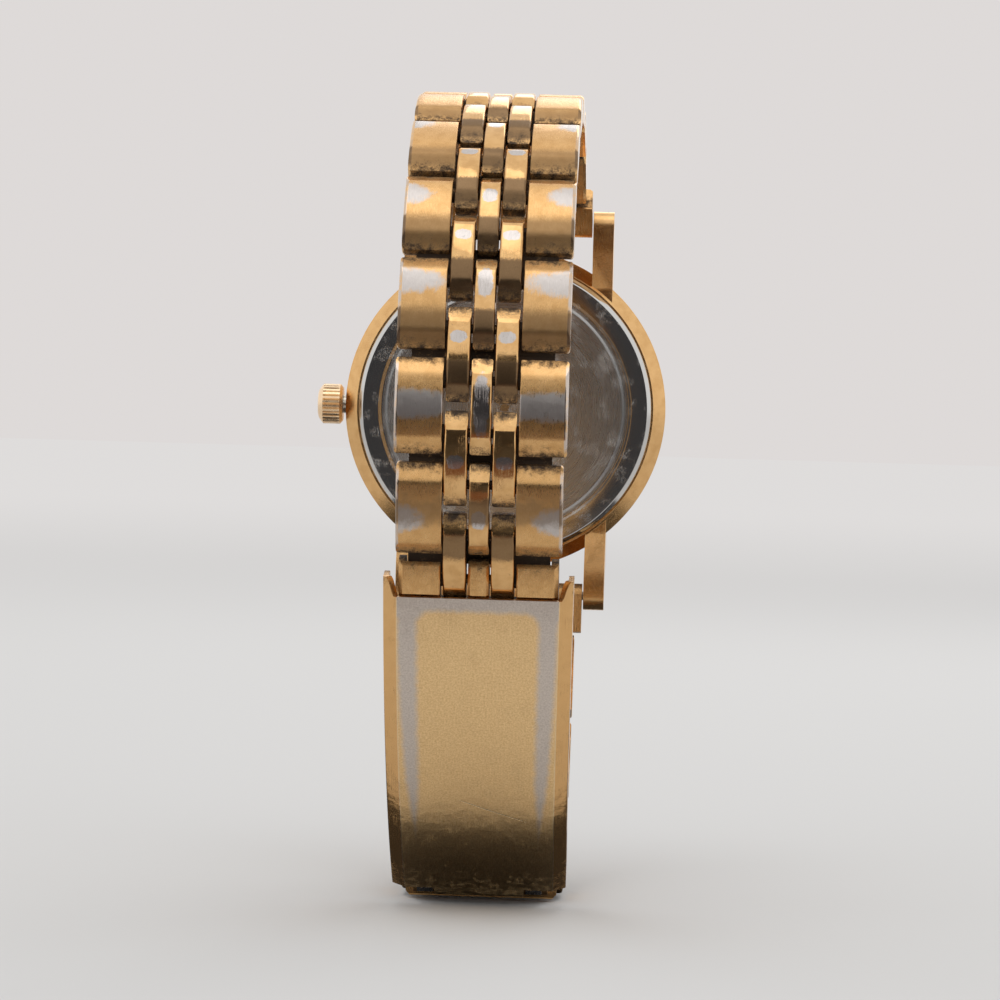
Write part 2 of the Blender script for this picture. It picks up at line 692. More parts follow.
# how far the plate of each upper row is worn, where along the link, and how dirty its ends are
WORN = {7: (0.05, -0.3, 0.16), 8: (0.20, -0.1, 0.22), 9: (0.36, -0.02, 0.18), 10: (0.26, 0.0, 0.22),
        11: (0.42, 0.24, 0.19), 12: (0.28, 0.16, 0.23), 13: (0.72, 0.14, 0.19), 14: (0.28, 0.2, 0.24),
        15: (1.40, 0.47, 0.18), 16: (0.30, 0.52, 0.24), 17: (0.45, 0.62, 0.20), 18: (0.05, 3.0, 0.25)}
UPPER_WORN, LOWER_WORN = (0.3, 0.4, 0.18), (0.25, 0.45, 0.18)
# where along the link its lower end goes brown, where a brown band crosses it, and off the link
TARNISH = {7: 1.1, 8: 0.83, 9: 0.92, 10: 0.81, 11: 0.78, 12: 0.69, 13: 0.70, 14: 0.65}
BROWN_BAND = {17: 0.46, 18: 0.14}
NOWHERE = 3.0

for chain, pins, count in (("upper", upper_pins, UPPER_ROWS), ("lower", lower_pins, LOWER_ROWS)):
    lower = chain == "lower"
    for i in range(1, count):
        node = f"{chain}_row_{i}"
        shape = wide_row if i % 2 else bead_row
        mesh = shape_mesh(node + "_shape", shape, shape.points, [satin_plate, polished_plate])
        row = from_tree(node + "_links", mesh, row_tree, {
            "Pin": (0.0, *pins[i]), "Turn": tuple(row_turn(pins, i, lower).to_euler()),
            "Width": reach_of(node) / BAND_HALF if i % 2 else 1.0,
            "Worn": LOWER_WORN if lower else WORN.get(i, UPPER_WORN),
            "Seed": float(i * 3 + (50 if lower else 0)),
            "Tarnish": NOWHERE if lower else TARNISH.get(i, NOWHERE),
            "Band": NOWHERE if lower else BROWN_BAND.get(i, NOWHERE)})
        dress(node + "_links", row, node, node)

# End rows and end pieces
# Solid end rows fill the lugs at both ends, and an end piece carries the bracelet into the
# clasp at either side. They are plated and brushed as the outer links are, with broken edges.
WELD = 0.0004


def softened(node, width, material, angle=30):
    """A copy of a CAD node as one welded mesh with its edges broken."""
    mesh = frame["nodes"][node].data.copy()
    mesh.materials.clear()
    carrier = new_object(node + "_carrier", turned_out(mesh, angle, WELD * MM, flatten=True))
    edge_break = carrier.modifiers.new("edges", "BEVEL")
    edge_break.width = width * MM
    edge_break.segments = 2
    edge_break.limit_method = "ANGLE"
    edge_break.angle_limit = radians(angle)
    made = plain_mesh(carrier, node + "_soft")
    made.materials.append(material)
    return made


for node, pins, index, worn, seed in (("upper_end_row", upper_pins, 0, (0.2, 0.4, 0.18), 91.0),
                                      ("clasp_end_piece", upper_pins, 19, (0.05, 0.3, 0.26), 93.0),
                                      ("lower_end_row", lower_pins, 0, (0.2, 0.4, 0.18), 95.0),
                                      ("base_end_piece", lower_pins, 8, (0.2, 0.4, 0.2), 97.0)):
    mesh = softened(node, 0.07, satin_plate, 28)
    back = row_turn(pins, index, pins is lower_pins).transposed()
    places = [tuple(back @ (v.co / MM - Vector((0, *pins[index])))) for v in mesh.vertices]
    note(mesh, "place", places)
    note(mesh, "spot", [(0.0, y / PITCH, z / CREST) for x, y, z in places])
    for label, value in (("worn", worn), ("seed", seed), ("tarnish", NOWHERE), ("band", NOWHERE)):
        note(mesh, label, [value] * len(places))
    dress(node + "_dressed", mesh, frame["nodes"][node]["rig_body"], node)

# Clasp cover
# A channel folded from 0.5 mm sheet, bent to the wrist, with a bevel along each side. Plated and
# brushed; the plate has worn through to white metal in a band round the flat, and the lower end
# is rolled into a knuckle for the hinge pin.
# The clasp frame has x across, s along the outer face from its mouth and d inward from it.
CLASP_R, COVER_L, COVER_HALF, WALL, SHEET = 51.5, 37.4, 8.9, 3.6, 0.5
# the bevel's width and drop, the radius of outer corners, and the flat between the bevels
BEVEL, DROP, CORNER = 1.3, 0.45, 0.10
FLAT_HALF = COVER_HALF - BEVEL
MOUTH_ANGLE, COVER_TAPER = radians(-14.0), radians(0.6)
# how far the walls stand out past the mouth, where across that starts, over what width, and how
# much the rim keeps back from it
MOUTH_RISE, RISE_FROM, RISE_OVER, RIM_EASE = 1.9, 0.95, 0.8, 0.5
MOUTH_THINNING, THIN_OVER = 0.035, 1.6
BAR_S, BAR_D, BAR_HOLE_R, BAR_HOLES, HOLE_STEP = 2.65, 2.2, 0.47, 4, 2.3
HINGE_S, HINGE_R, KNUCKLE = 38.45, 1.1, 4.5
COVER_STEPS = 150


def clasp_angle(s):
    return MOUTH_ANGLE - s / CLASP_R


bar_y, bar_z = upper_pins[-1]
arc_y = bar_y - (CLASP_R - BAR_D) * cos(clasp_angle(BAR_S))
arc_z = bar_z - (CLASP_R - BAR_D) * sin(clasp_angle(BAR_S))


def on_clasp(x, s, d):
    """The point of the clasp frame in the watch's frame. The cover narrows toward its hinge."""
    if x:
        x += copysign(1, x) * (COVER_L / 2 - s) * tan(COVER_TAPER)
    a = clasp_angle(s)
    return x, arc_y + (CLASP_R - d) * cos(a), arc_z + (CLASP_R - d) * sin(a)


def cover_profile():
    """Pairs of outer and inner points [x, d] from the middle of the flat to the wall's rim."""
    pairs = []
    for k in range(16):
        x = FLAT_HALF * k / 16 * 0.997
        pairs.append(((x, 0.0), (min(x, FLAT_HALF - 0.35), SHEET)))
    for t in (0.0, 0.25, 0.5, 0.75, 1.0):
        pairs.append(((FLAT_HALF - 0.05 + CORNER * t, 0.018 * t * t),
                      (FLAT_HALF - 0.35 + 0.06 * t, SHEET + 0.01 * t)))
    for t in (k / 6 for k in range(1, 6)):
        pairs.append(((FLAT_HALF + 0.05 + (BEVEL - 0.11) * t, 0.018 + (DROP - 0.04) * t),
                      (FLAT_HALF - 0.29 + (BEVEL - 0.36) * t, SHEET + 0.01 + 0.34 * t)))
    for a in (radians(20 + 70 * k / 4) for k in range(5)):
        pairs.append(((COVER_HALF - CORNER + CORNER * sin(a), DROP + 0.09 - CORNER * cos(a)),
                      (COVER_HALF - 0.78 + 0.28 * sin(a), DROP + 0.75 - 0.32 * cos(a))))
    for t in (k / 8 for k in range(1, 9)):
        d = DROP + 0.09 + (WALL - DROP - 0.19) * t
        pairs.append(((COVER_HALF, d), (COVER_HALF - SHEET, max(d, DROP + 0.75))))
    for a in (pi / 2 * k / 3 for k in range(1, 4)):
        in_by, down_by = CORNER * (1 - cos(a)), CORNER * (sin(a) - 1)
        pairs.append(((COVER_HALF - in_by, WALL + down_by), (COVER_HALF - SHEET + in_by, WALL + down_by)))
    return pairs


def ease(value, low, high):
    t = min(max((value - low) / (high - low), 0.0), 1.0)
    return t * t * (3 - 2 * t)


def cover_point(x, d, outer_x, t):
    """Adds the profile's point [x, d] at the share t of the length. The flat is a little thinner
    at the mouth, where it was pressed."""
    rise = min(max((abs(outer_x) - COVER_HALF + RISE_FROM) / RISE_OVER, 0.0), 1.0)
    start = RIM_EASE * ease(d, WALL - 0.7, WALL) - MOUTH_RISE * sin(pi / 2 * rise)
    end = COVER_L - 0.6 * ease(d, 1.6, WALL)
    s = start + (end - start) * t
    thinning = MOUTH_THINNING * (1 - ease(s, 0.0, THIN_OVER)) if abs(x) < FLAT_HALF else 0.0
    cover.add(on_clasp(x, s, max(d - thinning, 0.0)), (x, s, d))


half = cover_profile()
pairs = [((-o[0], o[1]), (-n[0], n[1])) for o, n in reversed(half[1:])] + half
cover = Shape()
for j in range(COVER_STEPS + 1):
    for outer, _ in pairs:
        cover_point(*outer, outer[0], j / COVER_STEPS)
    for outer, inner in reversed(pairs):
        cover_point(*inner, outer[0], j / COVER_STEPS)
loop = 2 * len(pairs)
cover.skin(COVER_STEPS + 1, loop, capped=False)
for first in (0, COVER_STEPS * loop):
    for k in range(len(pairs) - 1):
        cover.faces.append((first + k, first + k + 1, first + loop - 2 - k, first + loop - 1 - k))
        cover.slots.append(SATIN)


def clasp_rod(shape, s, d, outline, half_width):
    """A straight piece across the clasp with its outline [along, inward] about s and d."""
    part = Shape()
    prism(part, outline, -half_width, half_width)
    a, n = clasp_angle(s), len(shape.points)
    _, y, z = on_clasp(0, s, d)
    for x, along, inward in part.points:
        shape.add((x, y + along * sin(a) - inward * cos(a),
                   z - along * cos(a) - inward * sin(a)), (x, s + along, d + inward))
    shape.faces += [tuple(n + v for v in face) for face in part.faces]
    shape.slots += part.slots


def clasp_mesh(name, shape, materials):
    """A mesh of a shape in the watch's frame. Its place is where it lies in the clasp frame."""
    mesh = shape_mesh(name, shape, shape.spots, materials, 30)
    mesh.transform(Matrix.Scale(MM, 4))
    return mesh


clasp_rod(cover, HINGE_S, HINGE_R, disc_outline(HINGE_R, steps=40), KNUCKLE)
clasp_rod(cover, HINGE_S, HINGE_R, [(-1.3, -HINGE_R), (0.05, -HINGE_R), (0.05, SHEET - HINGE_R),
                                    (-1.3, SHEET - HINGE_R)], KNUCKLE)

CLASP_GOLD, CLASP_GOLD_PALE = (0.78, 0.515, 0.24, 1), (0.98, 0.70, 0.37, 1)
CLASP_GOLD_DEEP = (0.58, 0.37, 0.16, 1)
CLASP_WHITE, CLASP_WHITE_PALE = (0.55, 0.475, 0.41, 1), (0.72, 0.64, 0.57, 1)
GLINT, GOUGE_BRIGHT = (0.92, 0.74, 0.48, 1), (0.80, 0.66, 0.46, 1)
# the gold panel that is left on the flat, with its upper corners round
PANEL_HALF, PANEL_TOP, PANEL_CORNER = 5.7, 1.3, 1.5
# one long stray scratch low on the flat
GOUGE_X, GOUGE_S, GOUGE_SLOPE = -1.6, 24.2, 0.42
cover_plate, w = new_material("clasp_plate")
place = w.attribute("place")
x, along, depth = w.split(place)
side = abs(x)
brush = w.use(brush_group, Place=place, Across=7.0, Along=0.8)
mottle = w.noise(place, 5.5, 6.0, 0.75)
past_side = w.larger(side - (PANEL_HALF - PANEL_CORNER), 0.0)
past_top = w.larger(PANEL_TOP + PANEL_CORNER - along, 0.0)
panel_gap = (w.distance(past_side, past_top) - PANEL_CORNER) * 0.9
rim_gap = FLAT_HALF - 0.10 - w.step(along, 3.0, 34.0) - side + w.step(along, 2.4, 0.9)
field = w.math("MINIMUM", panel_gap, rim_gap) + w.step(along, 19.0, 33.0, 0.0, -0.75)
on_top = w.step(depth, 0.3, 0.1)
worn = w.use(break_group, Field=field, Place=place, Scale=1.3, Ragged=0.5, Soft=0.36)["Mask"] * on_top
worn = worn * w.step(side, FLAT_HALF + 0.03, FLAT_HALF - 0.05)
edge_glint = w.step(abs(side - FLAT_HALF), 0.10, 0.02) * on_top
on_flat = w.step(side, FLAT_HALF + 0.02, FLAT_HALF - 0.06)
scratch = w.use(scratch_group, Place=place, Amount=0.55)["Mask"]
past_gouge = abs((x - GOUGE_X) * GOUGE_SLOPE + along - GOUGE_S)
gouge = w.step(past_gouge, 0.10, 0.02) * w.step(abs(x - GOUGE_X), 3.7, 2.6)
dirt = w.step(along, 28.0, 38.0) * 0.24 + w.step(along, 0.0, -1.2) * 0.14
dirt = dirt + w.step(depth, SHEET * 0.5, SHEET * 0.9) * 0.10 + 0.13
grime = w.use(grime_group, Amount=dirt, Place=place)
gold = w.mix(w.step(mottle, 0.38, 0.62), CLASP_GOLD, CLASP_GOLD_PALE)
gold = w.mix(brush["Lines"] * 0.20, gold, CLASP_GOLD_DEEP)
gold = w.mix(on_flat, w.mix(brush["Cloud"] * 0.5, GOLD_BRIGHT, GOLD_DEEP), gold)
color = w.mix(worn, gold, w.mix(w.step(mottle, 0.35, 0.65), CLASP_WHITE, CLASP_WHITE_PALE))
color = w.mix(edge_glint * 0.5, color, GLINT)
color = w.mix(gouge * 0.6, color, GOUGE_BRIGHT)
color = w.mix(grime["Mask"], color, FILM)
rough = on_flat * 0.13 + mottle * 0.16 + worn * 0.05 + grime["Mask"] * 0.3 - gouge * 0.15 + 0.13
height = brush["Lines"] * on_flat * 0.8 + mottle * 0.9 - (scratch + gouge) * 1.5
w.shade(Base_Color=w.mix(grime["Speck"] * 0.25, color, FILM), Metallic=1.0 - grime["Mask"] * 0.7,
        Roughness=rough, Normal=w.bump(height, 0.006, Normal=w.bump(w.noise(place, 0.7, 2.0), 0.06)))

# the spring bar's adjustment holes are drilled through both walls
undrilled = new_object("cover_raw", clasp_mesh("cover_raw", cover, [cover_plate]))
holes = Shape()
for hole in range(BAR_HOLES):
    clasp_rod(holes, BAR_S + HOLE_STEP * hole, BAR_D, disc_outline(BAR_HOLE_R, steps=24), COVER_HALF + 1)
drill = new_object("drill", clasp_mesh("drill", holes, []))
cut = undrilled.modifiers.new("holes", "BOOLEAN")
cut.operation = "DIFFERENCE"
cut.solver = "EXACT"
cut.object = drill
dress("clasp_cover_sheet", plain_mesh(undrilled, "clasp_cover_sheet"), "clasp_cover",
      "clasp_cover")
bpy.data.objects.remove(drill)

# Leaves under the cover
# Two leaves stamped from 0.5 mm steel that keep the fine lines of its rolling. Knuckles at
# their ends turn on steel pins.
LEAF_DEEP, LEAF_BRIGHT = (0.50, 0.49, 0.47, 1), (0.68, 0.67, 0.64, 1)
leaf_steel, w = new_material("leaf_steel")
brush = w.use(brush_group, Place=w.place(), Across=8.0, Along=0.7)
scratch = w.use(scratch_group, Place=w.place(), Amount=0.8)["Mask"]
grime = w.use(grime_group, Amount=0.2, Place=w.place())["Mask"]
color = w.mix(scratch * 0.4, w.mix(brush["Cloud"], LEAF_DEEP, LEAF_BRIGHT), (0.80, 0.79, 0.77, 1))
w.shade(Base_Color=w.mix(grime, color, (0.06, 0.045, 0.03, 1)), Metallic=1.0 - grime * 0.6,
        Roughness=brush["Lines"] * 0.14 + grime * 0.3 + 0.20, Normal=w.bump(brush["Lines"] - scratch, 0.004))
for node in ("middle_leaf", "base_leaf"):
    dress(node + "_stamped", softened(node, 0.08, leaf_steel), node, node)

# Pins and spring bars
# Drawn steel. Hinge pins are peened over at their ends; spring bars are a tube with a flange and
# a thinner sprung tip at each end.
BAR_R, TIP_R, ROD_STEPS = 0.75, 0.45, 32
PIN_DEEP, PIN_BRIGHT = (0.46, 0.45, 0.44, 1), (0.66, 0.65, 0.63, 1)
pin_steel, w = new_material("pin_steel")
turned = w.use(brush_group, Place=w.place(), Across=9.0, Along=9.0)
w.shade(Base_Color=w.mix(turned["Cloud"], PIN_DEEP, PIN_BRIGHT), Metallic=1.0,
        Roughness=turned["Lines"] * 0.18 + 0.22, Normal=w.bump(turned["Lines"], 0.004))


def metre_mesh(name, points, faces, material, smooth_angle, weld=0.0):
    """A mesh from points in millimetres of the watch's frame."""
    mesh = bpy.data.meshes.new(name)
    mesh.from_pydata([[c * MM for c in point] for point in points], [], faces)
    mesh.materials.append(material)
    return turned_out(mesh, smooth_angle, weld)


def turned_mesh(name, stations, middle, steps, material, smooth_angle):
    """A solid turned about a line across the band through middle, (y, z). stations give x and
    the radius, which can also be a function of the angle."""
    shape = Shape()
    for x, radius in stations:
        for a in circle(steps):
            r = radius(a) if callable(radius) else radius
            shape.add((x, middle[0] + r * cos(a), middle[1] + r * sin(a)))
    shape.skin(len(stations), steps)
    return metre_mesh(name, shape.points, shape.faces, material, smooth_angle)


def dress_rod(node, body, half):
    """Dresses a bar or pin from the stations of its right half."""
    stations = [(-x, r) for x, r in reversed(half)] + half
    mesh = turned_mesh(node + "_turned", stations, middle_of(node), ROD_STEPS, pin_steel, 35)
    dress(node + "_turned", mesh, body, node)


for node, body, tip in (("lower_spring_bar", "case", 1.7), ("upper_spring_bar", "upper_end_row", 0.35),
                        ("cover_spring_bar", "clasp_cover", 1.2)):
    reach = reach_of(node)
    tube = reach - tip
    half = [(tube - 1.6, BAR_R), (tube - 1.5, BAR_R - 0.06), (tube - 1.3, BAR_R - 0.06), (tube - 1.2, BAR_R),
            (tube - 0.06, BAR_R), (tube, BAR_R - 0.05), (tube, TIP_R)]
    if tip > 0.9:
        half += [(tube + 0.3, TIP_R)]
    dress_rod(node, body, half + [(reach - 0.12, TIP_R), (reach - 0.03, TIP_R * 0.75), (reach, TIP_R * 0.4)])
for node, body in (("cover_hinge_pin", "clasp_cover"), ("leaf_hinge_pin", "middle_leaf"),
                   ("base_spring_bar", "base_leaf")):
    reach = reach_of(node)
    dress_rod(node, body, [(0.0, PIN_R), (reach - 0.1, PIN_R), (reach - 0.03, 0.38), (reach, 0.2)])

# Case and lugs
# The case middle with its four lugs, forged in one piece and drilled for the bars. It is finely
# brushed along the band, which leaves it nearly polished, and gold plated all over.
SCRATCH_BRIGHT = (0.9, 0.7, 0.42, 1)


def polar(w):
    """The distance from the watch's axis, the angle about it, and y."""
    x, y, z = w.split(w.place())
    return w.distance(x, z), w.math("ARCTAN2", x, z), y


def head_gold(name, across, along, depth, rough, dirt, turned=False, bright=GOLD_BRIGHT, deep=GOLD_DEEP):
    """Plate on the head. Brushed straight, or round the watch's axis if turned."""
    mat, w = new_material(name)
    brushed_at = w.place()
    if turned:
        radius, angle, y = polar(w)
        brushed_at = w.combine(radius, angle * 3.0, y)
    brush = w.use(brush_group, Place=brushed_at, Across=across, Along=along)
    scratch = w.use(scratch_group, Place=w.place(), Amount=0.6)["Mask"]
    grime = w.use(grime_group, Amount=dirt, Place=w.place())["Mask"]
    color = w.mix(w.step(brush["Cloud"], 0.35, 0.7) * 0.5, bright, deep)
    color = w.mix(scratch * 0.5, w.mix(brush["Lines"] * 0.15, color, deep), SCRATCH_BRIGHT)
    dent = w.bump(w.noise(w.place(), 0.5, 2.0), 0.012)
    w.shade(Base_Color=w.mix(grime, color, FILM), Metallic=1.0 - grime * 0.7,
            Roughness=brush["Lines"] * 0.12 + brush["Cloud"] * 0.06 + grime * 0.3 + rough,
            Normal=w.bump(brush["Lines"] - scratch * 1.4, depth, Normal=dent))
    return mat


case_gold = head_gold("case_gold", 10.0, 0.6, 0.003, 0.13, 0.17)
dress("case_with_lugs", softened("case_middle", 0.12, case_gold), "case", "case_middle")


def lathe_mesh(name, outline, material, steps, smooth_angle):
    """A ring or disc turned about the watch's axis from a closed outline of [radius, y]."""
    points, faces, n = [], [], len(outline)
    for k, a in enumerate(circle(steps)):
        points += [(r * sin(a), y, r * cos(a)) for r, y in outline]
        here, after = k * n, (k + 1) % steps * n
        for j in range(n):
            i = (j + 1) % n
            if outline[j][0] or outline[i][0]:
                faces.append((here + j, here + i, after + i, after + j))
    return metre_mesh(name, points, faces, material, smooth_angle, weld=1e-7)


def dress_lathed(name, node, outline, material, smooth_angle=24):
    dress(name, lathe_mesh(name, outline, material, 192, smooth_angle), "case", node)


def rounded(corners, radii, steps=4):
    """The outline with each corner that has a radius turned into an arc of a few points."""
    points, n = [], len(corners)
    for k, r in enumerate(radii):
        before, here, after = (Vector(corners[(k + d) % n]) for d in (-1, 0, 1))
        if not r:
            points.append(tuple(here))
            continue
        reach = min(r, (before - here).length * 0.45, (after - here).length * 0.45)
        a, b = (before - here).normalized() * reach, (after - here).normalized() * reach
        points += [tuple(here + a * (1 - j / steps) ** 2 + b * (j / steps) ** 2) for j in range(steps + 1)]
    return points


def span(node):
    """The outer radius, front and back of a node about the watch's axis."""
    low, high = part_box(node)
    return high.x / MM, low.y / MM, high.y / MM


# Bezel
# A polished ring pressed on the case's shoulder. Its seat holds the crystal's gasket. The fine
# lines of the polishing wheel run round the watch's axis.
bezel_gold = head_gold("bezel_gold", 6.0, 0.3, 0.002, 0.09, 0.13, turned=True)
bezel_r, bezel_front, bezel_back = span("bezel")
crystal_r, crystal_front, crystal_back = span("crystal")
gasket_r = reach_of("crystal_gasket")
bezel = [(gasket_r, bezel_back), (bezel_r, bezel_back), (bezel_r - 0.1, bezel_back - 0.5),
         (gasket_r + 1.25, bezel_front + 0.12), (gasket_r + 0.55, bezel_front), (gasket_r, bezel_front)]
dress_lathed("bezel_ring", "bezel", rounded(bezel, [0, 0.06, 0.12, 0.5, 0.25, 0.08]), bezel_gold)

# Crystal and its gasket
# Mineral glass with a shallow dome and a broken edge, held by a nylon ring. A few hairline
# scratches are all that shows on it.
DOME_ROWS, GLASS_EDGE, GLASS_BREAK = 14, 1.18, 0.08
glass, w = new_material("mineral_glass")
hairline = w.use(scratch_group, Place=w.place(), Amount=0.5)["Mask"]
w.shade(Base_Color=(0.985, 0.995, 0.99, 1), Transmission_Weight=1.0, IOR=1.5,
        Roughness=hairline * 0.2 + 0.008, Normal=w.bump(hairline, 0.001))
rim_y = crystal_back - GLASS_EDGE
dome = [(crystal_r * 0.985 * t, crystal_front + (rim_y - crystal_front) * t * t)
        for t in (k / DOME_ROWS for k in range(DOME_ROWS + 1))]
dome += [(crystal_r, rim_y + 0.12), (crystal_r, crystal_back - GLASS_BREAK),
         (crystal_r - GLASS_BREAK, crystal_back), (0.0, crystal_back)]
dress_lathed("crystal_glass", "crystal", dome, glass, 30)


def moulded(name, color, rough, depth, grain=9.0):
    """A moulded or lacquered material: faint flow marks, pits and handling dust."""
    mat, w = new_material(name)
    flow = w.step(w.noise(w.stretch(w.place(), (1.0, 2.2, 1.0)), 1.4, 4.0), 0.35, 0.65)
    pits = w.noise(w.place(), grain, 4.0, 0.6)
    w.shade(Base_Color=w.mix(flow, (*color, 1), (*(c * 0.72 for c in color), 1)),
            Roughness=pits * 0.2 + (rough - 0.1), Normal=w.bump(pits, depth))
    return mat


nylon = moulded("nylon", (0.80, 0.78, 0.70), 0.45, 0.01)
rubber = moulded("nitrile_rubber", (0.018, 0.018, 0.019), 0.6, 0.02)
ring_front = crystal_front + 0.35
gasket = [(crystal_r, ring_front), (gasket_r, ring_front), (gasket_r, crystal_back),
          (crystal_r, crystal_back)]
dress_lathed("crystal_ring", "crystal_gasket", rounded(gasket, [0.06] * 4), nylon)

# Dial
# A brass blank lacquered champagne over a sunray grain, with applied gilt batons and a printed
# minute ring, its marks bolder at every five minutes.
LACQUER_DEEP, LACQUER_PALE = (0.66, 0.52, 0.29, 1), (0.82, 0.69, 0.44, 1)
LACQUER_SHADE = (0.58, 0.44, 0.24, 1)
DIAL_HOLE, DIAL_BREAK = 1.0, 0.06
dial_r, dial_front, dial_back = span("dial")
dial_lacquer, w = new_material("dial_lacquer")
radius, angle, _ = polar(w)
rays = w.noise(w.combine(angle * 34.0, radius * 0.12, 0.0), 1.0, 5.0, 0.7)
cloud = w.noise(w.combine(w.math("SINE", angle) * 1.4, w.math("COSINE", angle) * 1.4, 0.0), 1.0, 2.0)
color = w.mix(w.step(rays, 0.35, 0.65), LACQUER_DEEP, LACQUER_PALE)
w.shade(Base_Color=w.mix(w.step(cloud, 0.4, 0.6) * 0.4, color, LACQUER_SHADE), Metallic=0.75,
        Roughness=rays * 0.25 + 0.28, Coat_Weight=rays * 0.1 + 0.5, Coat_Roughness=0.08,
        Normal=w.bump(rays, 0.004))
blank = [(DIAL_HOLE, dial_front), (dial_r - DIAL_BREAK, dial_front), (dial_r, dial_front + DIAL_BREAK),
         (dial_r, dial_back), (DIAL_HOLE, dial_back)]
dress_lathed("dial_plate", "dial", blank, dial_lacquer)

gilt = head_gold("hand_gilt", 3.0, 3.0, 0.001, 0.07, 0.10)
ink = moulded("dial_ink", (0.02, 0.018, 0.016), 0.5, 0.002, 20.0)


def raised_mesh(name, outline, y_back, y_front, material, ridge=0.0):
    """A flat shape [x, z] raised from y_back to y_front, its front edges broken, with an
    optional ridge along its middle."""
    n = len(outline)
    middle_x, middle_z = (sum(c) / n for c in zip(*outline))
    rim = 0.25 * abs(y_front - y_back)
    points = [(x, y_back, z) for x, z in outline] + [(x, y_front + rim, z) for x, z in outline]
    for x, z in outline:
        k = max(1 - rim * 1.4 / (hypot(x - middle_x, z - middle_z) or 1), 0.2)
        points.append((middle_x + (x - middle_x) * k, y_front, middle_z + (z - middle_z) * k))
    faces = [tuple(range(n))]
    for level in (0, n):
        for k in range(n):
            a, b = level + k, level + (k + 1) % n
            faces.append((a, b, b + n, a + n))
    if ridge:
        low, high = min(z for x, z in outline), max(z for x, z in outline)
        points += [(middle_x, y_front - ridge, low + (high - low) * share) for share in (0.12, 0.92)]
        tail, tip = 3 * n, 3 * n + 1
        for k in range(n):
            a, b = 2 * n + k, 2 * n + (k + 1) % n
            from_a, from_b = (tip if points[v][2] > (low + high) / 2 else tail for v in (a, b))
            faces.append((a, b, from_a) if from_a == from_b else (a, b, from_b, from_a))
    else:
        faces.append(tuple(range(2 * n, 3 * n)))
    return metre_mesh(name, points, faces, material, 0, weld=1e-8)


# one tree stands copies of a shape round the watch's axis by equal steps, from 12 o'clock on
w, given, result = new_tree("ring_of", "GeometryNodeTree", [
    ("Geometry", "Geometry"), ("Count", "Int"), ("Step", "Float"), ("Material", "Material")],
    [("Geometry", "Geometry")])
ring_tree = w.tree
turn = w.combine(0.0, w.get("GeometryNodeInputIndex") * given["Step"], 0.0)
ring = w.get("GeometryNodeInstanceOnPoints", Points=w.get("GeometryNodePoints", Count=given["Count"]),
             Instance=given["Geometry"], Rotation=turn)
ring = w.get("GeometryNodeRealizeInstances", Geometry=ring)
w.put(result[0], w.get("GeometryNodeSetMaterial", Geometry=ring, Material=given["Material"]))

BATON_IN, BATON_OUT, BATON_RISE = 8.6, 11.6, 0.22
MINUTE_IN, MINUTE_OUT, FIVE_IN, FIVE_OUT = 12.15, 12.75, 12.0, 12.8
MINUTE_RISE, FIVE_RISE = 0.012, 0.014
baton = [(-0.42, BATON_IN), (0.42, BATON_IN), (0.42, BATON_OUT - 0.25), (0.0, BATON_OUT),
         (-0.42, BATON_OUT - 0.25)]


def bar(x0, x1, z0, z1):
    return [(x0, z0), (x1, z0), (x1, z1), (x0, z1)]


for name, outline, rise, ridge, count, material, slot in (
        ("dial_batons", baton, BATON_RISE, 0.08, 12, gilt, "hand_gilt"),
        ("dial_double_baton", bar(-1.0, -0.52, BATON_IN, BATON_OUT), BATON_RISE, 0.0, 1, gilt, "hand_gilt"),
        ("dial_double_baton_right", bar(0.52, 1.0, BATON_IN, BATON_OUT), BATON_RISE, 0.0, 1, gilt,
         "hand_gilt"),
        ("dial_minutes", bar(-0.055, 0.055, MINUTE_IN, MINUTE_OUT), MINUTE_RISE, 0.0, 60, ink, "dial"),
        ("dial_fives", bar(-0.14, 0.14, FIVE_IN, FIVE_OUT), FIVE_RISE, 0.0, 12, ink, "dial")):
    mark = raised_mesh(name + "_mark", outline, dial_front, dial_front - rise, material, ridge)
    step = radians(360 / count)
    dress(name, from_tree(name, mark, ring_tree, {"Count": count, "Step": step, "Material": material}),
          "case")

# Hands
# Gilt blades with a ridge along the middle, pressed on the hour wheel, the cannon pinion and the
# seconds arbor.
HUB_STEPS, HUB_BREAK = 48, 0.035
# the angle from 12 o'clock, the bore and hub, and the blade's half width, reach and tail
HANDS = {"hour_hand": (305, 0.8, 1.3, 0.55, 8.4, 1.4), "minute_hand": (50, 0.5, 1.1, 0.45, 12.0, 1.8),
         "second_hand": (200, 0.2, 0.7, 0.11, 12.56, 3.6)}
for node, (turn, bore, hub, half_width, reach, tail) in HANDS.items():
    _, front, back = span(node)
    if node == "second_hand":
        blade = [(-half_width, -tail), (half_width, -tail), (0.07, reach - 0.4), (0.0, reach),
                 (-0.07, reach - 0.4)]
    else:
        right = [(half_width * 0.6, -tail * 0.75), (half_width, reach * 0.22),
                 (half_width * 0.55, reach * 0.8)]
        blade = [(0.0, -tail), *right, (0.0, reach), *((-x, z) for x, z in reversed(right))]
    hand = raised_mesh(node + "_blade", blade, back - 0.03, front + 0.05, gilt, 0.05)
    collar = rounded([(bore, back), (hub, back), (hub, front), (bore, front)], [HUB_BREAK] * 4, 2)
    bm = bmesh.new()
    bm.from_mesh(hand)
    bm.from_mesh(lathe_mesh(node + "_hub", collar, gilt, HUB_STEPS, 25))
    bm.transform(Matrix.Rotation(radians(turn), 4, "Y"))
    bm.to_mesh(hand)
    bm.free()
    dress(node + "_gilt", turned_out(hand, 25), node, node)

